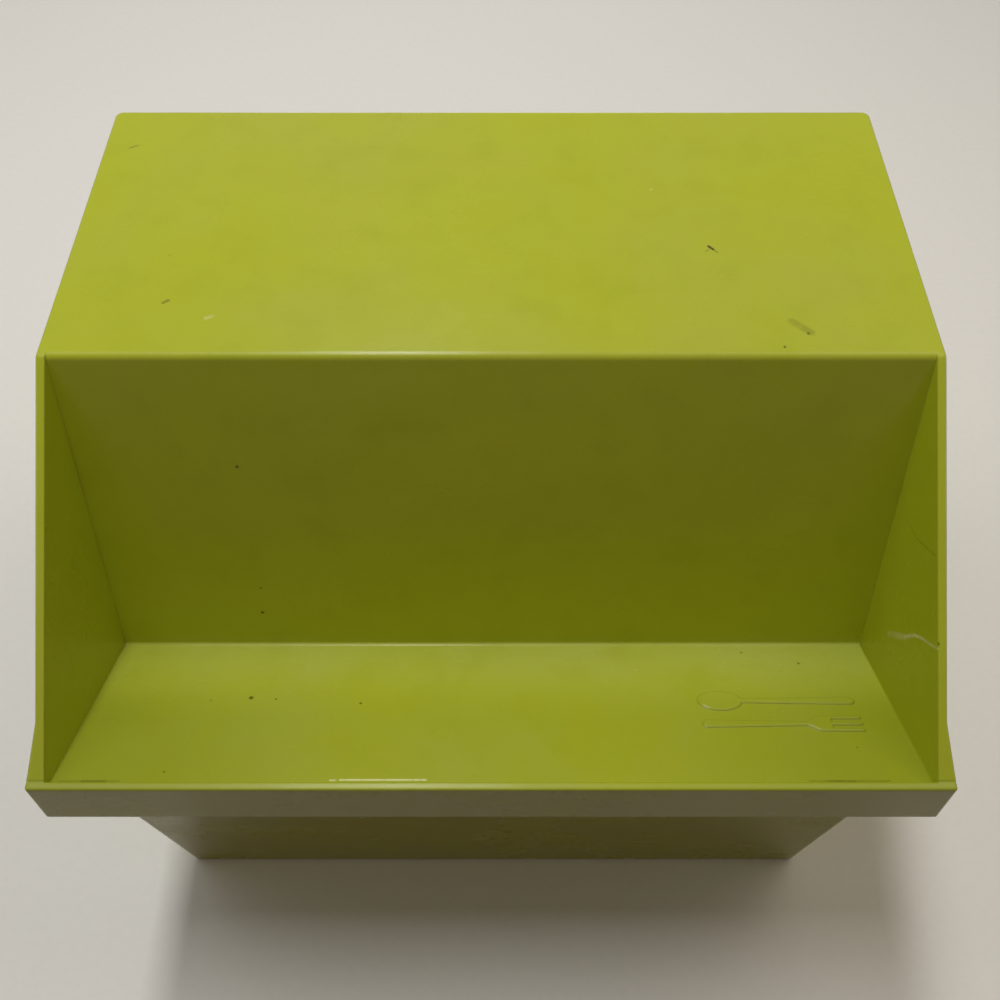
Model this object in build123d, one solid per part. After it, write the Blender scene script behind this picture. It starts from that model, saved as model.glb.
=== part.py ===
from build123d import *
from math import asin, cos, degrees, hypot, radians, sin, tan
import os

# A moulded plastic recipe box: a tapered tub, a hinged lid with a card stand in its front,
# and the index dividers and recipe cards that the tub holds.
# Sizes are in millimetres. While the parts are made, Y runs back from the front of the lip,
# and Z runs up from the surface that the box stands on. The last step centres the box.

# Recipe cards and index dividers
card_width = 216.0
card_height = 140.0
card_thickness = 0.35
card_pitch = 0.6
cards_per_group = 8
group_count = 14
divider_thickness = 0.8
tab_width = 38.0
tab_height = 12.0
tab_radius = 3.0
tab_places = 5
tab_margin = 6.0
card_corner_radius = 2.0
card_jog = 0.7
jog_phase = 2.4
sheet_gap = 0.3
card_lean = 9.0

# Tub
wall = 2.3
floor_thickness = 2.3
tub_draft = 2.36
tub_side_draft = 1.67
card_side_gap = 9.8
tub_corner_radius = 2.5
tub_inner_radius = 1.5
tub_foot_radius = 2.0
foot_band = 8.0
foot_recess = 0.8
rim_rise = 5.0
rim_radius = 0.6

# Lid: heights, then distances back from the front of the lip
skirt_bottom = 125.0
skirt_height = 21.1
skirt_flare = 4.05
shoulder_height = 8.6
shoulder_step = 2.5
lid_rise = 66.4
lid_draft = 1.7
top_front = 96.4
top_depth = 104.6
side_gap = 1.75
finger_gap = 10.7

# Card stand in the front of the lid
lip_thickness = 2.3
lip_rise = 2.8
crease_setback = 54.6
crease_drop = 24.8
fin_thickness = 2.7
cheek_wall = 2.0
cheek_gap = 1.8

# Rounding of the lid's edges
brow_radius = 2.2
fin_corner_radius = 2.5
lid_edge_radius = 1.0
lid_corner_radius = 2.5
lip_radius = 0.6
lip_corner_radius = 0.8
crease_radius = 1.0
skirt_edge_radius = 0.8

# Ribs under the ledge that carry the front of the lid
rib_thickness = 2.0
rib_spacing = 62.0
rib_count = 4
rest_gap = 0.05

# Raised spoon and fork on the ledge
relief_height = 0.5
relief_chamfer = 0.3
relief_x = 85.0
relief_y = 27.2
utensil_length = 47.0
utensil_spacing = 9.2
handle_width = 3.0
neck_width = 1.6
bowl_length = 13.4
bowl_width = 8.0
fork_head_length = 6.4
tine_length = 9.0
tine_width = 1.2
tine_spacing = 2.4
utensil_overlap = 2.0

# Hinges
hinge_setback = 48.75
knuckle_radius = 2.8
knuckle_gap = 0.55
lid_knuckle_width = 19.0
tub_knuckle_width = 12.0
knuckle_side_gap = 0.4
hinge_inset = 1.8
lid_gap = 0.5
pin_radius = 1.2
pin_clearance = 0.05
pin_chamfer = 0.3
heel_reach = 1.2
lid_opening = 105.0
stop_gap = 0.1

# Reach of the cutting blocks past the part, and how edges and upward faces are picked
beyond = 20.0
near = 1.0
upward = 0.5

# Heights and half widths that follow from the sizes above
rim_z = skirt_bottom + rim_rise
lip_z = skirt_bottom + skirt_height
shoulder_z = lip_z + shoulder_height
top_z = lip_z + lid_rise
flare = skirt_height * tan(radians(skirt_flare))
lid_slope = tan(radians(lid_draft))
tub_slope = tan(radians(tub_draft))
tub_side_slope = tan(radians(tub_side_draft))
foot_half = card_width / 2 + card_side_gap + wall
tub_half = foot_half + skirt_bottom * tub_side_slope
skirt_half = tub_half + side_gap + wall
lip_half = skirt_half - flare
shoulder_half = lip_half - shoulder_step
top_half = shoulder_half - (top_z - shoulder_z) * lid_slope

# Where the faces stand along Y
top_back = top_front + top_depth
shoulder_back = top_back + (top_z - shoulder_z) * lid_slope
lip_back = shoulder_back + shoulder_step
skirt_back = lip_back + flare
hinge_y = skirt_back - hinge_inset
hinge_z = skirt_bottom - lid_gap - knuckle_radius
tub_back = hinge_y - knuckle_radius - knuckle_gap + (skirt_bottom - hinge_z) * tub_slope
tub_front = wall - flare + finger_gap

# The card stand: the crease between the leaning panel and the rising ledge, and their slopes
crease_y = crease_setback
crease_z = lip_z - crease_drop
ledge_front_z = lip_z - lip_rise
ledge_angle = degrees(asin((ledge_front_z - crease_z)
                           / hypot(crease_y - lip_thickness, ledge_front_z - crease_z)))
panel_length = hypot(top_front - crease_y, top_z - crease_z)
panel_sin = (top_front - crease_y) / panel_length
panel_cos = (top_z - crease_z) / panel_length
cheek_half_crease = tub_half - wall - cheek_gap - cheek_wall
cheek_half_lip = shoulder_half + shoulder_height * lid_slope - fin_thickness
cheek_half_top = top_half - fin_thickness


def tub_half_at(z):
    return foot_half + z * tub_side_slope


def tub_front_at(z):
    return tub_front + (skirt_bottom - z) * tub_slope


def tub_back_at(z):
    return tub_back - (skirt_bottom - z) * tub_slope


def ledge_z_at(y):
    return crease_z + (crease_y - y) * tan(radians(ledge_angle))


def lid_back_at(z):
    """Outer back face of the lid above its shoulder, and of its skirt below the lip's level."""
    if z > shoulder_z:
        return top_back + (top_z - z) * lid_slope
    if z > lip_z:
        return lip_back - (z - lip_z) * shoulder_step / shoulder_height
    return lip_back + (lip_z - z) * flare / skirt_height


def rectangle_at(z, half, front, back):
    corners = [(-half, front, z), (half, front, z), (half, back, z), (-half, back, z)]
    return make_face(Polyline(*corners, close=True))


def tapered_block(low, high):
    """Straight-sided block between two rectangles, each given as height, half width, front, back."""
    return loft([rectangle_at(*low), rectangle_at(*high)], ruled=True)


def outline(points, rounded=()):
    """Face from points in the YZ plane, with some of its corners rounded."""
    face = make_face(Polyline(*points, close=True))
    for (y, z), radius in rounded:
        corner = face.vertices().sort_by_distance((y, z, 0))[0]
        face = fillet(corner, radius)
    return face


def across(face, x_low, x_high):
    """Solid that carries a face of the YZ plane along X."""
    return extrude(Plane.YZ.offset(x_low) * face, amount=x_high - x_low)


def mirrored(part):
    return mirror(part, about=Plane.YZ)


def cheek_cut(part, offset):
    """Part between the two cheek planes, each moved outward by an offset."""
    lip_point = Vector(cheek_half_lip + offset, lip_thickness, lip_z)
    top_point = Vector(cheek_half_top + offset, top_front, top_z)
    crease_point = Vector(cheek_half_crease + offset, crease_y, crease_z)
    normal = (top_point - lip_point).cross(crease_point - lip_point)
    if normal.X < 0:
        normal = normal * -1
    right = Plane(origin=lip_point, x_dir=top_point - lip_point, z_dir=normal)
    part = split(part, bisect_by=right, keep=Keep.BOTTOM)
    part = split(mirrored(part), bisect_by=right, keep=Keep.BOTTOM)
    return part


def lid_envelope():
    """Outer form of the lid with its sloping fin line, before the card stand is taken out."""
    skirt = tapered_block((skirt_bottom, skirt_half, -flare, skirt_back),
                          (lip_z, lip_half, 0, lip_back))
    shoulder = tapered_block((lip_z, lip_half, 0, lip_back),
                             (shoulder_z, shoulder_half, 0, shoulder_back))
    tower = tapered_block((shoulder_z, shoulder_half, 0, shoulder_back),
                          (top_z, top_half, 0, top_back))
    above_fins = outline([(-beyond, lip_z), (lip_thickness, lip_z), (top_front, top_z),
                          (top_front + beyond, top_z), (top_front + beyond, top_z + beyond),
                          (-beyond, top_z + beyond)],
                         [((top_front, top_z), fin_corner_radius)])
    body = skirt + shoulder + tower
    return body - across(above_fins, -skirt_half - beyond, skirt_half + beyond)


def card_stand():
    """Space of the card stand, between its panel, its ledge, its cheeks and the lip."""
    half_turn = tan((radians(90) - asin(panel_sin)) / 2)
    brow_back = top_front + brow_radius * half_turn
    space = outline([(crease_y, crease_z), (top_front, top_z), (brow_back + beyond, top_z),
                     (brow_back + beyond, top_z + beyond), (lip_thickness, top_z + beyond),
                     (lip_thickness, ledge_front_z)],
                    [((crease_y, crease_z), crease_radius),
                     ((top_front, top_z), brow_radius),
                     ((lip_thickness, ledge_front_z), crease_radius)])
    lip_edge = (lip_thickness - lip_radius, lip_z - lip_radius)
    space += Pos(*lip_edge) * Rectangle(lip_radius, beyond, align=(Align.MIN, Align.MIN))
    space -= Pos(*lip_edge) * Circle(lip_radius)
    return cheek_cut(across(space, -skirt_half, skirt_half), 0)


def lid_cavity():
    """Inside of the lid, behind the panel and under the ledge."""
    roof_z = top_z - wall
    roof_half = top_half + wall * lid_slope - wall
    roof_back = top_back + wall * lid_slope - wall
    mouth_z = skirt_bottom - beyond
    spread = flare * beyond / skirt_height
    skirt = tapered_block((mouth_z, skirt_half + spread - wall, wall - flare - spread,
                           skirt_back + spread - wall),
                          (lip_z, lip_half - wall, wall, lip_back - wall))
    shoulder = tapered_block((lip_z, lip_half - wall, wall, lip_back - wall),
                             (shoulder_z, shoulder_half - wall, wall, shoulder_back - wall))
    tower = tapered_block((shoulder_z, shoulder_half - wall, wall, shoulder_back - wall),
                          (roof_z, roof_half, wall, roof_back))
    return skirt + shoulder + tower - stand_walls() - fin_cover()


def stand_walls():
    """Card stand grown by its walls, so that the cavity stops behind the panel and the ledge."""
    slope = tan(radians(ledge_angle))
    drop = wall / cos(radians(ledge_angle))
    setback = wall / panel_cos
    lean = panel_sin / panel_cos
    corner_y = (crease_y + setback - lean * (drop - crease_y * slope)) / (1 + lean * slope)
    corner_z = crease_z + (crease_y - corner_y) * slope - drop
    high = top_z + beyond
    low_front_z = crease_z + (crease_y + beyond) * slope - drop
    grown = outline([(corner_y, corner_z), (corner_y + (high - corner_z) * lean, high),
                     (-beyond, high), (-beyond, low_front_z)])
    return cheek_cut(across(grown, -skirt_half, skirt_half), cheek_wall)


def fin_cover():
    """Space above the fin line lowered by a wall, so that no cavity runs up into a fin's edge."""
    drop = wall * hypot(top_front - lip_thickness, lid_rise) / (top_front - lip_thickness)
    cover = outline([(-beyond, lip_z - drop), (lip_thickness, lip_z - drop),
                     (top_front, top_z - drop), (top_front, top_z + beyond),
                     (-beyond, top_z + beyond)])
    return across(cover, -skirt_half - beyond, skirt_half + beyond)


def upward_faces(body, low):
    """Faces above a height that look up."""
    return [face for face in body.faces()
            if face.center().Z > low and face.normal_at().Z > upward]


def rounded_envelope():
    """Outer form of the lid with its corners, fin edges, lip and skirt rounded."""
    body = lid_envelope()
    back = [edge for edge in body.edges()
            if edge.center().Y > top_back - near and abs(edge.center().X) > top_half - near]
    body = fillet(back, lid_corner_radius)
    front = [edge for edge in body.edges()
             if edge.center().Y < 0 and abs(edge.center().X) > lip_half - near]
    body = fillet(front, lip_corner_radius)
    rim = [edge for face in upward_faces(body, lip_z + lip_radius) for edge in face.edges()
           if abs(edge.center().X) > near or edge.center().Y > top_back - near]
    body = fillet(rim, lid_edge_radius)
    lip_top = upward_faces(body, lip_z - lip_radius)
    lip_top = min(lip_top, key=lambda face: face.center().Z)
    lip = [edge for edge in lip_top.edges() if edge.center().Y < lip_thickness - lip_radius / 2]
    body = fillet(lip, lip_radius)
    under = body.faces().sort_by(Axis.Z)[0]
    return fillet(under.edges(), skirt_edge_radius)


def lid_body():
    """Solid lid with its card stand, and with the tip of the stand below the skirt's edge."""
    tip = outline([(lip_thickness, crease_z - beyond), (crease_y + beyond, crease_z - beyond),
                   (crease_y + beyond, ledge_front_z), (lip_thickness, ledge_front_z)])
    body = rounded_envelope() + (stand_walls() & across(tip, -skirt_half, skirt_half))
    return body - card_stand()


def support_ribs():
    """Ribs between the ledge and the tub's front rim."""
    rib_low = rim_z + rest_gap
    rib_back = tub_front_at(rim_z) + 2 * wall
    half_drop = wall / 2 / cos(radians(ledge_angle))
    rib = outline([(wall / 2, rib_low), (rib_back, rib_low),
                   (rib_back, ledge_z_at(rib_back) - half_drop),
                   (wall / 2, ledge_z_at(wall / 2) - half_drop)])
    first = -rib_spacing * (rib_count - 1) / 2
    ribs = []
    for index in range(rib_count):
        middle = first + index * rib_spacing
        ribs.append(across(rib, middle - rib_thickness / 2, middle + rib_thickness / 2))
    return ribs


def ledge_plane(x, y):
    """Plane on the ledge with its X along the box and its Z out of the surface."""
    angle = radians(ledge_angle)
    return Plane(origin=(x, y, ledge_z_at(y)), x_dir=(1, 0, 0), z_dir=(0, sin(angle), cos(angle)))


def hull_of(circles):
    """Face stretched round circles, each given as its centre and its diameter."""
    edges = ShapeList()
    for x, y, diameter in circles:
        edges += (Pos(x, y) * Circle(diameter / 2)).edges()
    return make_hull(edges)


def spoon():
    bowl = Pos((bowl_length - utensil_length) / 2, 0) * Ellipse(bowl_length / 2, bowl_width / 2)
    neck_x = bowl_length - utensil_length / 2 - utensil_overlap
    end_x = (utensil_length - handle_width) / 2
    return bowl + hull_of([(neck_x, 0, neck_width), (end_x, 0, handle_width)])


def fork():
    end_x = (handle_width - utensil_length) / 2
    tip_x = (utensil_length - tine_width) / 2
    root_x = tip_x - tine_length
    neck_x = root_x - fork_head_length
    head = [(neck_x, 0, neck_width)]
    for side in (-tine_spacing, tine_spacing):
        head += [(neck_x + fork_head_length / 2, side, tine_width), (root_x, side, tine_width)]
    shape = hull_of([(end_x, 0, handle_width), (neck_x, 0, neck_width)]) + hull_of(head)
    for place in (-tine_spacing, 0, tine_spacing):
        shape += hull_of([(root_x, place, tine_width), (tip_x, place, tine_width)])
    return shape


def raised(shape):
    """Flat shape as a solid that stands half above the XY plane, with its upper edge chamfered."""
    solid = Pos(0, 0, -relief_height) * extrude(shape, amount=2 * relief_height)
    return chamfer(solid.faces().sort_by(Axis.Z)[-1].edges(), relief_chamfer)


def ledge_relief():
    """Plain spoon above a plain fork, raised on the right of the ledge."""
    plane = ledge_plane(relief_x, relief_y)
    shapes = [Pos(0, utensil_spacing / 2) * spoon(), Pos(0, -utensil_spacing / 2) * fork()]
    return [plane.location * raised(shape) for shape in shapes]


def hinge_middles():
    """Middle of each hinge, set back from the side of the tub."""
    return (hinge_setback - tub_half, tub_half - hinge_setback)


def heel_points():
    """Corner of the lid's knuckle that meets the tub's back when the lid is fully open."""
    reach = knuckle_radius + heel_reach
    wall_distance = knuckle_radius + knuckle_gap - stop_gap
    angle = radians(180 - lid_opening) + asin(wall_distance / reach)
    tip = (hinge_y + reach * sin(angle), hinge_z + reach * cos(angle))
    above = (hinge_y + knuckle_radius, hinge_z)
    below = (hinge_y, hinge_z - knuckle_radius)
    return [(hinge_y, hinge_z), above, tip, below]


def lid_knuckle():
    barrel = Pos(hinge_y, hinge_z) * Circle(knuckle_radius)
    web = outline([(hinge_y - wall + hinge_inset, hinge_z), (skirt_back, hinge_z),
                   (skirt_back, skirt_bottom + wall / 2),
                   (hinge_y - wall + hinge_inset, skirt_bottom + wall / 2)])
    return barrel + web + outline(heel_points())


def tub_knuckle():
    barrel = Pos(hinge_y, hinge_z) * Circle(knuckle_radius)
    web = outline([(tub_back - wall / 2, hinge_z - knuckle_radius),
                   (hinge_y, hinge_z - knuckle_radius), (hinge_y, hinge_z + knuckle_radius / 2),
                   (tub_back - wall / 2, hinge_z + knuckle_radius / 2)])
    return barrel + web


def pin_bore(middle, half_length):
    bore = Pos(hinge_y, hinge_z) * Circle(pin_radius + pin_clearance)
    return across(bore, middle - half_length, middle + half_length)


def lid_shell():
    """Lid with its card stand, in one moulding."""
    shell = lid_body() - lid_cavity()
    for rib in support_ribs():
        shell += rib
    for shape in ledge_relief():
        shell += shape
    half = lid_knuckle_width / 2
    for middle in hinge_middles():
        shell += across(lid_knuckle(), middle - half, middle + half)
        shell -= pin_bore(middle, half)
    return shell


def tub_block(low, high, inset):
    """Tapered block of the tub's form between two heights, moved inward by an inset."""
    return tapered_block((low, tub_half_at(low) - inset, tub_front_at(low) + inset,
                          tub_back_at(low) - inset),
                         (high, tub_half_at(high) - inset, tub_front_at(high) + inset,
                          tub_back_at(high) - inset))


def rounded_upright(block, radius):
    """Block with its four upright edges rounded."""
    upright = [edge for edge in block.edges() if edge.bounding_box().size.Z > foot_band]
    return fillet(upright, radius)


def base_tub():
    """Tapered open tub on a foot band, with its hinge knuckles."""
    body = rounded_upright(tub_block(0, rim_z, 0), tub_corner_radius)
    body = fillet(body.faces().sort_by(Axis.Z)[0].edges(), tub_foot_radius)
    body -= rounded_upright(tub_block(floor_thickness, rim_z + beyond, wall), tub_inner_radius)
    body = fillet(body.faces().sort_by(Axis.Z)[-1].edges(), rim_radius)
    body -= rounded_upright(tub_block(-beyond, foot_recess, foot_band), tub_corner_radius)
    for middle in hinge_middles():
        for side in (-1, 1):
            inner = lid_knuckle_width / 2 + knuckle_side_gap
            ends = sorted((middle + side * inner, middle + side * (inner + tub_knuckle_width)))
            body += across(tub_knuckle(), *ends)
        body -= pin_bore(middle, pin_half_length())
    return body


def pin_half_length():
    return lid_knuckle_width / 2 + knuckle_side_gap + tub_knuckle_width


def hinge_pin(middle):
    """Straight steel pin through the three knuckles of one hinge."""
    section = Pos(hinge_y, hinge_z) * Circle(pin_radius)
    pin = across(section, middle - pin_half_length(), middle + pin_half_length())
    return chamfer(pin.edges().filter_by(GeomType.CIRCLE), pin_chamfer)


def sheet_outline(tab_index=None):
    """Card standing on its lower edge, with an index tab if one is asked for."""
    middle = (0, card_height / 2)
    shape = Pos(*middle) * RectangleRounded(card_width, card_height, card_corner_radius)
    if tab_index is None:
        return shape
    free_width = card_width - 2 * tab_margin - tab_width
    tab_x = -free_width / 2 + free_width * (tab_index % tab_places) / (tab_places - 1)
    tab = RectangleRounded(tab_width, 2 * tab_height, tab_radius)
    return shape + Pos(tab_x, card_height) * tab


def rearmost_sheet_y():
    """Where the last card stands, so that it leans on the rim and clears the lid behind it."""
    lean = radians(card_lean)
    tall = card_height + tab_height
    highest_z = floor_thickness + tall * cos(lean)
    by_rim = tub_back_at(rim_z) - wall - sheet_gap - (rim_z - floor_thickness) * tan(lean)
    by_lid = lid_back_at(highest_z) - wall - sheet_gap - tall * sin(lean)
    return min(by_rim, by_lid)


def standing_sheet(shape, thickness, depth, jog=0.0):
    """Leaning sheet, a given depth in front of the rearmost one."""
    lean = radians(card_lean)
    stand = Plane(origin=(jog, rearmost_sheet_y() - depth / cos(lean), floor_thickness + rest_gap),
                  x_dir=(1, 0, 0), z_dir=(0, -cos(lean), sin(lean)))
    return extrude(stand * shape, amount=thickness)


def card_group(depth):
    """Recipe cards of one group, as separate sheets."""
    plain = sheet_outline()
    cards = []
    for index in range(cards_per_group):
        jog = card_jog * sin(depth + index * jog_phase)
        cards.append(standing_sheet(plain, card_thickness, depth + index * card_pitch, jog))
    return Compound([solid for card in cards for solid in card.solids()])


def filing():
    """Index dividers, each with its group of recipe cards behind it."""
    nodes = {}
    depth = 0.0
    for number in range(group_count, 0, -1):
        nodes[f"recipe_cards_{number:02d}"] = card_group(depth)
        depth += cards_per_group * card_pitch + sheet_gap
        tab_shape = sheet_outline(number - 1)
        nodes[f"index_divider_{number:02d}"] = standing_sheet(tab_shape, divider_thickness, depth)
        depth += divider_thickness + sheet_gap
    return nodes


def centred(nodes):
    """All parts moved along Y so that the whole box is centred over the origin."""
    boxes = [part.bounding_box() for part in nodes.values()]
    front = min(box.min.Y for box in boxes)
    back = max(box.max.Y for box in boxes)
    return {name: Pos(0, -(front + back) / 2, 0) * part for name, part in nodes.items()}


def main():
    os.makedirs("parts", exist_ok=True)
    nodes = {"base_tub": base_tub(), "lid_shell": lid_shell()}
    left, right = hinge_middles()
    nodes["hinge_pin_left"] = hinge_pin(left)
    nodes["hinge_pin_right"] = hinge_pin(right)
    nodes.update(filing())
    for name, part in centred(nodes).items():
        export_step(part, f"parts/{name}.step")


main()
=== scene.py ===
from math import cos, radians, sin

import bpy
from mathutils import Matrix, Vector

# Recipe box: materials, lamps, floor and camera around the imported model.
# Lengths are in metres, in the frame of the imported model.

mm = 0.001

# Camera, in the photograph's place
camera_place = (2.4 * mm, -185.6 * mm, 415.0 * mm)
camera_pitch = 56.8
camera_lens = 36.0
camera_sensor = 36.0
camera_clip_start = 10.0 * mm

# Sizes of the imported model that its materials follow
crease_y = -48.7 * mm
ledge_depth = 52.0 * mm
lip_z = 146.1 * mm
lean = radians(9.0)
sheet_foot_z = 2.35 * mm
card_height = 140.0 * mm
card_pitch = 0.6 * mm
tab_height = 12.0 * mm
tab_reach = 83.0 * mm
tab_places = 5
divider_count = 14

# Direction that the broad front faces of the cards and dividers look in
sheet_facing = (0.0, -cos(lean), sin(lean))


def srgb(red, green, blue):
    """Colour in linear light from its usual 0 to 255 values."""
    values = []
    for level in (red, green, blue):
        share = level / 255
        values.append(share / 12.92 if share <= 0.04045 else ((share + 0.055) / 1.055) ** 2.4)
    return (*values, 1.0)


# Colours of the plastic
fresh_green = srgb(160, 168, 29)
hazy_green = srgb(159, 165, 48)
deep_green = srgb(144, 152, 21)
dusty_lit_green = srgb(163, 170, 76)
shade_green = srgb(100, 108, 14)
worn_highlight_green = srgb(184, 187, 76)
grime_and_shade = srgb(66, 60, 14)
scuff_and_highlight = srgb(214, 214, 168)

# Colours of the cards and dividers
card_white = srgb(238, 233, 218)
card_cream = srgb(222, 212, 188)
card_handled = srgb(196, 180, 148)
card_fibre = srgb(206, 196, 170)
rule_blue = srgb(150, 170, 190)
heading_red = srgb(196, 110, 96)
board_rubbed = srgb(232, 224, 204)
label_border = srgb(120, 96, 70)
label_paper = srgb(236, 231, 214)
label_line = srgb(140, 130, 112)
board_tints = [srgb(214, 170, 96), srgb(190, 112, 84), srgb(128, 150, 112), srgb(206, 190, 128),
               srgb(118, 142, 158)]

# Colours of the hinge pins
steel_bright = srgb(205, 204, 200)
steel_dull = srgb(168, 166, 162)

# Colours of the surroundings: as they are seen, and as they light the object
studio_pale = srgb(226, 224, 219)
floor_speckle = srgb(220, 218, 213)
floor_bounce = srgb(102, 71, 44)
room_light = srgb(86, 80, 72)

# Noise scales, in waves per metre
cloud_scale = 11.0
dust_scale = 24.0
gloss_scale = 26.0
wave_scale = 38.0
handling_scale = 40.0
rub_scale = 55.0
mottle_scale = 70.0
floor_scale = 300.0
broken_mark_scale = 330.0
skin_scale = 420.0
grain_scale = 1500.0
fibre_scales = (1400.0, 1400.0, 500.0)
wire_scales = (60.0, 9000.0, 9000.0)

# Shading of edges and creases
edge_softness = 0.8 * mm
crease_reach = 3.0 * mm
shading_samples = 4

# Strengths of haze, wear, dirt, painted highlight on edges and painted shade in creases on the plastic,
# from 0 to 1
haze_on_sides = 0.25
edge_wear_and_highlight = 0.2
crease_dirt_and_shade = 0.5
dark_specking = 0.6
pale_specking = 0.35
mark_cover = 0.8

# Relief of the plastic, the cards, the dividers and the pins
wave_relief = 0.25 * mm
skin_relief = 0.012 * mm
card_relief = 0.03 * mm
board_relief = 0.04 * mm
wire_relief = 0.01 * mm

# Part of a mark's radius or half width that is fully dark or pale
spot_core = 0.5
stroke_core = 0.3

# Cosine beyond which a face of a card or divider counts as a broad one
broad_face_cosine = 0.9

# Printed rules of a card, measured up from its lower edge
rule_pitch = 7.0 * mm
rule_half_share = 0.025
rules_middle = 63.0 * mm
rules_half = 56.0 * mm
heading_height = 126.0 * mm
heading_half = 0.25 * mm

# Blank label on a divider's tab, as half widths and half heights
label_middle = card_height + tab_height * 0.52
border_half = (16.0 * mm, 4.2 * mm)
label_half = (15.4 * mm, 3.6 * mm)
label_line_half = (12.0 * mm, 0.15 * mm)
label_line_drop = 1.2 * mm

# Marks that use has left on the lid, and a painted highlight behind the lip: place in mm, then radius in
# mm
dark_specks = [
    ((-72.5, -70.6, 130.5), 0.9), ((-64.9, -71.1, 130.7), 0.45), ((-39.3, -72.7, 131.4), 0.5),
    ((-84.4, -71.6, 130.9), 0.35), ((-90.8, -96.8, 141.5), 0.4), ((95.9, -56.9, 124.7), 0.55),
    ((79.0, -52.3, 122.8), 0.45), ((104.2, -88.6, 138.1), 0.3), ((-72.1, -43.3, 133.1), 0.7),
    ((-71.4, -39.3, 141.9), 0.45), ((-72.7, -21.3, 181.2), 0.65), ((79.0, -3.9, 212.5), 0.5),
    ((120.7, -70.5, 168.1), 0.8), ((86.2, 1.0, 212.5), 0.6),
]
# Start and end in mm, then half width in mm and strength
dark_strokes = [
    ((62.9, 34.9, 212.5), (64.1, 33.6, 212.5), 0.6, 1.3),
    ((64.1, 33.6, 212.5), (65.2, 32.3, 212.5), 0.4, 0.6),
    ((63.3, 34.0, 212.5), (62.0, 32.9, 212.5), 0.35, 0.5),
    ((82.4, 5.4, 212.5), (86.9, 1.4, 212.5), 1.7, 0.36),
    ((-114.1, 79.1, 212.5), (-111.7, 80.5, 212.5), 0.45, 0.6),
    ((-91.2, 12.4, 212.5), (-90.0, 13.3, 212.5), 0.8, 0.6),
    ((-119.3, -99.9, 142.8), (-102.5, -99.9, 142.8), 0.6, 0.35),
    ((-112.5, -99.9, 142.8), (-106.0, -99.9, 142.8), 0.7, 0.6),
    ((87.8, -99.8, 142.8), (109.5, -99.8, 142.8), 0.6, 0.35),
    ((92.2, -99.8, 142.8), (101.8, -99.8, 142.8), 0.6, 0.6),
    ((119.0, -33.7, 172.2), (119.5, -40.8, 174.0), 0.35, 0.3),
    ((119.5, -40.8, 174.0), (120.2, -50.2, 180.4), 0.4, 0.4),
]
pale_strokes_and_highlight = [
    ((118.9, -55.2, 142.5), (119.5, -60.3, 151.3), 1.4, 0.35),
    ((119.5, -60.3, 151.3), (119.9, -62.6, 157.1), 0.8, 0.65),
    ((119.9, -62.6, 157.1), (120.1, -65.1, 160.4), 0.6, 0.75),
    ((120.1, -65.1, 160.4), (120.6, -69.9, 165.2), 0.5, 0.65),
    ((120.6, -69.9, 165.2), (120.8, -72.4, 168.1), 0.45, 0.4),
    ((-78.4, 6.7, 212.5), (-76.8, 7.5, 212.5), 0.9, 0.35),
    # Painted highlight along the back edge of the lip
    ((-41.6, -99.4, 142.6), (-18.0, -99.4, 142.6), 0.45, 1.0),
    ((-44.4, -99.5, 142.7), (-42.9, -99.5, 142.7), 0.4, 0.9),
]

# Floor and lamps
floor_reach = 5.0
key_target = (0.0, 0.0, 0.15)
fill_target = (0.0, 0.0, 0.12)
key_size = (0.4, 0.4)
window_x = -0.148
window_y = 0.35
window_height = 1.35
fill_distance = 1.6
fill_height = 0.35
fill_size = (0.8, 0.2)
fill_power = 2.8


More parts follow.
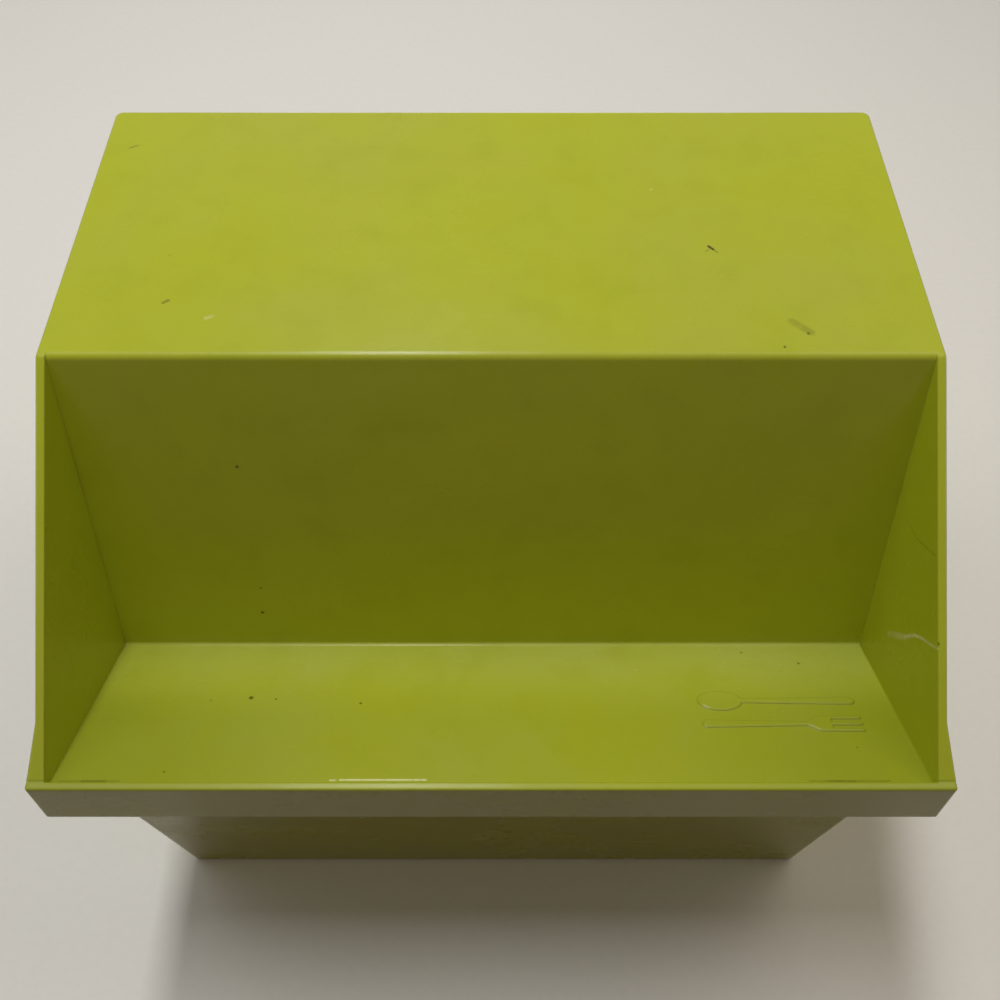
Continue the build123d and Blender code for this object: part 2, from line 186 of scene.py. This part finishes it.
class Graph:
    """One material, with short ways to add shader nodes to it."""

    def __init__(self, name):
        self.material = bpy.data.materials.new(name)
        self.material.use_nodes = True
        self.tree = self.material.node_tree
        self.tree.nodes.clear()
        self.shader = self.add("ShaderNodeBsdfPrincipled")
        output = self.add("ShaderNodeOutputMaterial")
        self.tree.links.new(self.shader.outputs["BSDF"], output.inputs["Surface"])
        coordinates = self.add("ShaderNodeTexCoord")
        self.place = coordinates.outputs["Object"]
        self.facing = coordinates.outputs["Normal"]

    def add(self, kind, inputs=None, **settings):
        node = self.tree.nodes.new(kind)
        for key, value in settings.items():
            setattr(node, key, value)
        for key, value in (inputs or {}).items():
            self.give(node.inputs[key], value)
        return node

    def give(self, socket, value):
        if isinstance(value, bpy.types.NodeSocket):
            self.tree.links.new(value, socket)
        else:
            socket.default_value = value

    def set(self, **inputs):
        """Shader inputs by name, with _ in place of a space."""
        for key, value in inputs.items():
            self.give(self.shader.inputs[key.replace("_", " ")], value)

    def math(self, operation, first, second=0.0):
        node = self.add("ShaderNodeMath", {0: first, 1: second}, operation=operation)
        return node.outputs[0]

    def product(self, first, *others):
        """Product of several values."""
        for value in others:
            first = self.math("MULTIPLY", first, value)
        return first

    def highest(self, first, *others):
        """Largest of several values."""
        for value in others:
            first = self.math("MAXIMUM", first, value)
        return first

    def vector(self, operation, first, second, result="Vector"):
        node = self.add("ShaderNodeVectorMath", {0: first, 1: second}, operation=operation)
        return node.outputs[result]

    def scaled(self, vector, factors):
        return self.vector("MULTIPLY", vector, factors)

    def parts(self, vector):
        """X, Y and Z of a vector."""
        return self.add("ShaderNodeSeparateXYZ", {0: vector}).outputs

    def ramp(self, value, low, high, start=0.0, end=1.0):
        """Smooth step from start to end while the value goes from low to high."""
        inputs = {"Value": value, "From Min": low, "From Max": high, "To Min": start, "To Max": end}
        node = self.add("ShaderNodeMapRange", inputs, interpolation_type="SMOOTHSTEP")
        return node.outputs["Result"]

    def band(self, value, middle, half):
        """1 where a value lies within a half width of a middle."""
        distance = self.math("ABSOLUTE", self.math("SUBTRACT", value, middle))
        return self.math("LESS_THAN", distance, half)

    def mix(self, share, first, second):
        node = self.add("ShaderNodeMix", {0: share, 6: first, 7: second}, data_type="RGBA")
        return node.outputs[2]

    def noise(self, scale, detail=2.0, roughness=0.5, vector=None):
        inputs = {"Vector": vector or self.place, "Scale": scale, "Detail": detail,
                  "Roughness": roughness}
        return self.add("ShaderNodeTexNoise", inputs).outputs["Fac"]

    def bump(self, height, distance, normal=None):
        inputs = {"Height": height, "Distance": distance}
        if normal is not None:
            inputs["Normal"] = normal
        return self.add("ShaderNodeBump", inputs).outputs["Normal"]

    def rounded_edges(self, radius):
        """Shading normal that softens edges sharper than a radius."""
        return self.add("ShaderNodeBevel", {"Radius": radius}, samples=shading_samples).outputs["Normal"]

    def openness(self, reach):
        """1 on open surfaces, falling towards 0 in creases that are narrower than a reach."""
        node = self.add("ShaderNodeAmbientOcclusion", {"Distance": reach}, samples=shading_samples,
                        only_local=True)
        return node.outputs["AO"]

    def spot(self, centre, radius):
        """1 at a point of the surface, falling to 0 at a radius."""
        distance = self.vector("DISTANCE", self.place, centre, "Value")
        return self.ramp(distance, radius * spot_core, radius, start=1.0, end=0.0)

    def stroke(self, start, end, width):
        """1 along a straight line on the surface, falling to 0 at a width."""
        along = end - start
        offset = self.vector("SUBTRACT", self.place, start)
        share = self.vector("DOT_PRODUCT", offset, along / along.length_squared, "Value")
        share = self.math("MINIMUM", self.math("MAXIMUM", share, 0.0), 1.0)
        scaled = self.add("ShaderNodeVectorMath", {0: along, "Scale": share}, operation="SCALE")
        distance = self.vector("DISTANCE", offset, scaled.outputs["Vector"], "Value")
        return self.ramp(distance, width * stroke_core, width, start=1.0, end=0.0)


def in_metres(point):
    return Vector(point) * mm


def scattered_specks(graph, spacing, radius, share):
    """Small round specks in a given share of the cells of a random lattice."""
    inputs = {"Vector": graph.place, "Scale": 1 / spacing}
    cells = graph.add("ShaderNodeTexVoronoi", inputs)
    chance = graph.parts(cells.outputs["Color"])[0]
    reach = radius / spacing
    specks = graph.ramp(cells.outputs["Distance"], reach * spot_core, reach, start=1.0, end=0.0)
    return graph.product(specks, graph.math("LESS_THAN", chance, share))


def ledge_dust_and_light(graph, upward):
    """Film of dust on the ledge in cloudy patches, with painted light that makes it paler towards the
    crease behind it.
    """
    _, y, z = graph.parts(graph.place)
    below_lip = graph.math("LESS_THAN", z, lip_z - 1.0 * mm)
    in_front = graph.math("LESS_THAN", y, crease_y + 1.5 * mm)
    patches = graph.ramp(graph.noise(dust_scale, detail=3.0, roughness=0.6), low=0.3, high=0.7,
                         start=0.12, end=0.42)
    crease_light = graph.ramp(y, crease_y - ledge_depth / 2, crease_y, end=0.5)
    return graph.product(below_lip, in_front, upward, graph.math("ADD", patches, crease_light))


def ledge_shade(graph, upward):
    """Painted shade on the front of the ledge and on the lip, strongest in the corners."""
    x, y, z = graph.parts(graph.place)
    up_to_lip = graph.product(upward, graph.math("LESS_THAN", z, lip_z + 0.3 * mm))
    forward = graph.ramp(y, crease_y - 0.1 * ledge_depth, crease_y - 0.6 * ledge_depth)
    outward = graph.ramp(graph.math("ABSOLUTE", x), 30.0 * mm, 115.0 * mm, start=0.2, end=0.5)
    return graph.product(up_to_lip, graph.product(forward, outward))


def marks_of_use_and_highlight(graph):
    """Dark and pale marks at their own places on the lid; two of the pale strokes are a painted
    highlight behind the lip.
    """
    broken = graph.ramp(graph.noise(broken_mark_scale, detail=3.0, roughness=0.65), low=0.3,
                        high=0.55, start=0.35)
    dark = [graph.spot(in_metres(centre), radius * mm) for centre, radius in dark_specks]
    pale = []
    for marks, strokes in ((dark, dark_strokes), (pale, pale_strokes_and_highlight)):
        for start, end, width, strength in strokes:
            mark = graph.stroke(in_metres(start), in_metres(end), width * mm)
            marks.append(graph.product(mark, graph.product(broken, strength)))
    return dark, pale


def moulded_green(name, marked):
    """Glossy moulded plastic in avocado green, aged by handling, with painted shade in its creases and a
    painted highlight on its free edges. A marked one has its own marks, dust with painted light on the
    ledge, painted shade at the front of the ledge and a painted highlight behind the lip.
    """
    graph = Graph(name)
    clouds = graph.noise(cloud_scale, detail=3.0, roughness=0.55)
    mottle = graph.noise(mottle_scale, detail=3.0, roughness=0.6)
    grain = graph.noise(grain_scale, detail=1.0)
    upward = graph.ramp(graph.parts(graph.facing)[2], low=0.3, high=0.9)
    haze = graph.product(graph.ramp(clouds, low=0.35, high=0.68), graph.highest(upward, haze_on_sides))
    colour = graph.mix(haze, fresh_green, hazy_green)
    if marked:
        # The ledge gets dust with painted light towards the crease, and painted shade at its front and
        # ends
        colour = graph.mix(ledge_dust_and_light(graph, upward), colour, dusty_lit_green)
        colour = graph.mix(ledge_shade(graph, upward), colour, shade_green)
    colour = graph.mix(graph.ramp(mottle, low=0.45, high=0.75, end=0.25), colour, deep_green)
    colour = graph.mix(graph.ramp(grain, low=0.3, high=0.7, end=0.12), colour, deep_green)

    # Free edges are painted paler, as wear and as a painted highlight, and creases are painted darker,
    # as dirt and as painted shade
    soft = graph.rounded_edges(edge_softness)
    true = graph.add("ShaderNodeNewGeometry").outputs["Normal"]
    turn = graph.vector("DOT_PRODUCT", soft, true, "Value")
    openness = graph.openness(crease_reach)
    edge = graph.product(graph.ramp(turn, low=0.97, high=0.8),
                         graph.ramp(mottle, low=0.3, high=0.6, start=0.2),
                         graph.ramp(openness, low=0.7, high=0.95))
    # Free edges mixed paler, as wear and as a painted highlight
    colour = graph.mix(graph.product(edge, edge_wear_and_highlight), colour, worn_highlight_green)
    dirt_and_shade_mask = graph.product(graph.ramp(openness, low=0.6, high=0.2),
                         graph.ramp(mottle, low=0.35, high=0.7, start=0.25))
    dark_dots = scattered_specks(graph, spacing=16.0 * mm, radius=0.35 * mm, share=0.25)
    pale_dots = scattered_specks(graph, spacing=23.0 * mm, radius=0.5 * mm, share=0.2)
    dark = [graph.product(dirt_and_shade_mask, crease_dirt_and_shade), graph.product(dark_dots, dark_specking)]
    pale = [graph.product(pale_dots, pale_specking)]
    if marked:
        dark_marks, pale_marks_and_highlight = marks_of_use_and_highlight(graph)
        dark += dark_marks
        pale += pale_marks_and_highlight
    # Dirt, dark specks and marks, and painted shade in the creases
    colour = graph.mix(graph.product(graph.highest(*dark), mark_cover), colour, grime_and_shade)
    # Pale specks and scuffs, and the painted highlight behind the lip
    colour = graph.mix(graph.product(graph.highest(*pale), mark_cover), colour, scuff_and_highlight)

    rough = graph.ramp(graph.noise(gloss_scale, detail=4.0, roughness=0.6), low=0.3, high=0.7,
                       start=0.2, end=0.3)
    waves = graph.bump(graph.noise(wave_scale, detail=1.0), wave_relief, normal=soft)
    skin = graph.bump(graph.noise(skin_scale), skin_relief, normal=waves)
    graph.set(Base_Color=colour, Roughness=rough, Normal=skin, IOR=1.5, Specular_IOR_Level=0.22)
    return graph.material


def sheet_height(graph):
    """Height up a leaning card or divider, from its lower edge."""
    z = graph.parts(graph.place)[2]
    return graph.math("DIVIDE", graph.math("SUBTRACT", z, sheet_foot_z), cos(lean))


def broad_face(graph):
    """1 on the broad faces of a card or divider, 0 on its edges."""
    facing = graph.vector("DOT_PRODUCT", graph.facing, sheet_facing, "Value")
    return graph.math("GREATER_THAN", graph.math("ABSOLUTE", facing), broad_face_cosine)


def fibres(graph):
    """Faint fibres of paper."""
    return graph.noise(1.0, detail=4.0, roughness=0.65, vector=graph.scaled(graph.place, fibre_scales))


def recipe_card():
    """Off-white card with faint printed rules, each card a little different at its edges."""
    graph = Graph("card_stock")
    depth = graph.vector("DOT_PRODUCT", graph.place, sheet_facing, "Value")
    cell = graph.math("FLOOR", graph.math("DIVIDE", depth, card_pitch))
    tint = graph.add("ShaderNodeTexWhiteNoise", {"W": cell}, noise_dimensions="1D").outputs["Value"]
    colour = graph.mix(tint, card_white, card_cream)
    handled = graph.ramp(graph.noise(handling_scale, detail=3.0), low=0.5, high=0.75, end=0.35)
    colour = graph.mix(handled, colour, card_handled)
    colour = graph.mix(graph.ramp(fibres(graph), low=0.4, high=0.8, end=0.2), colour, card_fibre)
    height = sheet_height(graph)
    step = graph.math("FRACT", graph.math("DIVIDE", height, rule_pitch))
    rules = graph.product(graph.band(step, 0.5, rule_half_share),
                          graph.band(height, rules_middle, rules_half))
    heading = graph.band(height, heading_height, heading_half)
    face = broad_face(graph)
    colour = graph.mix(graph.product(rules, face), colour, rule_blue)
    colour = graph.mix(graph.product(heading, face), colour, heading_red)
    relief = graph.bump(fibres(graph), card_relief)
    graph.set(Base_Color=colour, Roughness=0.85, IOR=1.45, Normal=relief)
    return graph.material


def divider_stock(place, tint):
    """Tinted board for the dividers whose tabs stand in one place, with a blank label on the tab."""
    graph = Graph(f"divider_stock_{place + 1}")
    worn = tuple(0.55 * level + 0.45 * white for level, white in zip(tint, board_rubbed))
    colour = graph.mix(graph.ramp(fibres(graph), low=0.35, high=0.8, end=0.35), tint, worn)
    rub = graph.ramp(graph.noise(rub_scale, detail=4.0, roughness=0.6), low=0.45, high=0.7, end=0.45)
    colour = graph.mix(rub, colour, worn)
    x = graph.parts(graph.place)[0]
    height = sheet_height(graph)
    face = broad_face(graph)
    tab_x = tab_reach * (2 * place / (tab_places - 1) - 1)
    for middle, half, ink in ((label_middle, border_half, label_border),
                              (label_middle, label_half, label_paper),
                              (label_middle - label_line_drop, label_line_half, label_line)):
        printed = graph.product(graph.band(x, tab_x, half[0]), graph.band(height, middle, half[1]))
        colour = graph.mix(graph.product(printed, face), colour, ink)
    relief = graph.bump(fibres(graph), board_relief)
    graph.set(Base_Color=colour, Roughness=0.7, IOR=1.45, Normal=relief)
    return graph.material


def drawn_wire():
    """Steel wire with fine marks along its length."""
    graph = Graph("drawn_wire")
    lines = graph.noise(1.0, detail=3.0, vector=graph.scaled(graph.place, wire_scales))
    rough = graph.ramp(lines, low=0.3, high=0.7, start=0.28, end=0.42)
    graph.set(Base_Color=graph.mix(lines, steel_bright, steel_dull), Metallic=1.0, Roughness=rough,
              Normal=graph.bump(lines, wire_relief))
    return graph.material


def seen_directly(tree):
    """1 for rays that show the background itself, 0 for those that light the object."""
    path = tree.nodes.new("ShaderNodeLightPath")
    total = path.outputs["Is Camera Ray"]
    for name in ("Is Glossy Ray", "Is Transmission Ray"):
        larger = tree.nodes.new("ShaderNodeMath")
        larger.operation = "MAXIMUM"
        tree.links.new(total, larger.inputs[0])
        tree.links.new(path.outputs[name], larger.inputs[1])
        total = larger.outputs[0]
    return total


def pale_floor():
    """Plain pale floor that keeps the object's shadow and throws little light back on it."""
    graph = Graph("pale_floor")
    speckle = graph.ramp(graph.noise(floor_scale), low=0.3, high=0.7, end=0.3)
    pale = graph.mix(speckle, studio_pale, floor_speckle)
    colour = graph.mix(seen_directly(graph.tree), floor_bounce, pale)
    graph.set(Base_Color=colour, Roughness=0.9, Specular_IOR_Level=0.1)
    mesh = bpy.data.meshes.new("floor")
    corners = [(-floor_reach, -floor_reach, 0), (floor_reach, -floor_reach, 0),
               (floor_reach, floor_reach, 0), (-floor_reach, floor_reach, 0)]
    mesh.from_pydata(corners, [], [(0, 1, 2, 3)])
    mesh.materials.append(graph.material)
    floor = bpy.data.objects.new("floor", mesh)
    bpy.context.scene.collection.objects.link(floor)


def pale_world():
    """Pale surroundings to look at, and a weaker even light from them."""
    world = bpy.data.worlds.new("studio")
    world.use_nodes = True
    tree = world.node_tree
    background = tree.nodes["Background"]
    mix = tree.nodes.new("ShaderNodeMix")
    mix.data_type = "RGBA"
    mix.inputs[6].default_value = room_light
    mix.inputs[7].default_value = studio_pale
    tree.links.new(seen_directly(tree), mix.inputs[0])
    tree.links.new(mix.outputs[2], background.inputs["Color"])
    bpy.context.scene.world = world


def lamp(name, place, target, size, power, colour=(1.0, 1.0, 1.0)):
    """Area lamp of a width and a height that faces a point."""
    light = bpy.data.lights.new(name, "AREA")
    light.shape = "RECTANGLE"
    light.size, light.size_y = size
    light.energy = power
    light.color = colour
    holder = bpy.data.objects.new(name, light)
    holder.location = place
    holder.rotation_euler = (Vector(target) - Vector(place)).to_track_quat("-Z", "Y").to_euler()
    holder.visible_camera = False
    bpy.context.scene.collection.objects.link(holder)


def lamps():
    """Two soft keys, a narrow window above the back, a warm front lamp and three low fills."""
    lamp("key_left", (-0.36, 0.14, 0.85), key_target, key_size, power=1.05)
    lamp("key_right", (0.36, 0.14, 0.85), key_target, key_size, power=1.35, colour=(1.0, 0.88, 0.7))
    lamp("window", (window_x, window_y, window_height), (window_x, window_y, 0.0), size=(0.14, 0.9),
         power=10.2)
    lamp("front", (0.0, -1.3, 0.7), key_target, size=(0.9, 0.5), power=0.7, colour=(1.0, 0.6, 0.28))
    for name, x, y in (("fill_left", -fill_distance, 0.0), ("fill_right", fill_distance, 0.0),
                       ("fill_back", 0.0, fill_distance)):
        lamp(name, (x, y, fill_height), fill_target, fill_size, fill_power)


def photograph_camera():
    data = bpy.data.cameras.new("camera")
    data.lens = camera_lens
    data.sensor_width = camera_sensor
    data.clip_start = camera_clip_start
    camera = bpy.data.objects.new("camera", data)
    camera.location = camera_place
    camera.rotation_euler = (radians(90.0 - camera_pitch), 0.0, 0.0)
    bpy.context.scene.collection.objects.link(camera)
    bpy.context.scene.camera = camera


def paint(node, material):
    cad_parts[node].material_slots[0].material = material


def dress():
    """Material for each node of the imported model."""
    paint("lid_shell", moulded_green("lid_green", marked=True))
    paint("base_tub", moulded_green("tub_green", marked=False))
    wire = drawn_wire()
    for side in ("left", "right"):
        paint(f"hinge_pin_{side}", wire)
    boards = [divider_stock(place, tint) for place, tint in enumerate(board_tints)]
    card = recipe_card()
    for number in range(1, divider_count + 1):
        paint(f"index_divider_{number:02d}", boards[(number - 1) % tab_places])
        paint(f"recipe_cards_{number:02d}", card)


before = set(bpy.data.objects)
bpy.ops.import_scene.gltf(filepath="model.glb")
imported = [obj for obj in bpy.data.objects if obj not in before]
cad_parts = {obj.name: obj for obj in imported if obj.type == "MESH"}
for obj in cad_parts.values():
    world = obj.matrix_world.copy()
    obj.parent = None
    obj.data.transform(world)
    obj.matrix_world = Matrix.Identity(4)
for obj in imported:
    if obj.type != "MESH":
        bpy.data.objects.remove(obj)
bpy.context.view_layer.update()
photograph_camera()
bpy.context.scene.view_settings.view_transform = "Standard"
dress()
pale_floor()
pale_world()
lamps()
